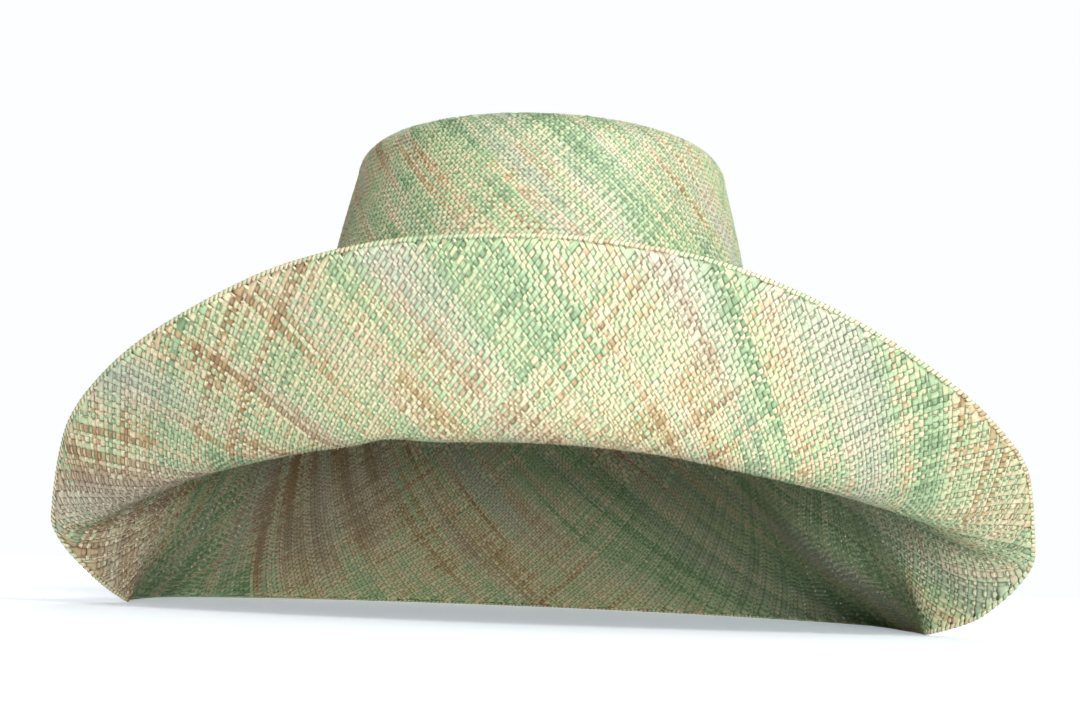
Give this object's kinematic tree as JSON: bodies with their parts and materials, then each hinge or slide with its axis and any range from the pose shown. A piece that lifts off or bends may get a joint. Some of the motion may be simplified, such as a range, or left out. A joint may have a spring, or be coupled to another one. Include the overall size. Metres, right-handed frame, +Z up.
{
  "type": "raffia hat",
  "caption": "Wide-brimmed woven raffia hat with a tapered, nearly flat-topped crown; its brim is turned down at the back and sides and turned up at the front.",
  "frame": {"origin": "on the floor under the middle of the hat, which stands on the turned-down back and sides of its brim", "axes": "+Z up; the turned-up front faces -Y; +X towards the wearer's left hand"},
  "size_m": [0.3748, 0.3514, 0.2017],
  "materials": {
    "crown": "woven raffia, slightly glossy",
    "brim": "woven raffia, slightly glossy",
    "brim_edge": "folded raffia strips, slightly glossy"
  },
  "bodies": {
    "root": {"crown": "crown", "brim": "brim", "brim_edge": "brim_edge"}
  },
  "joints": []
}
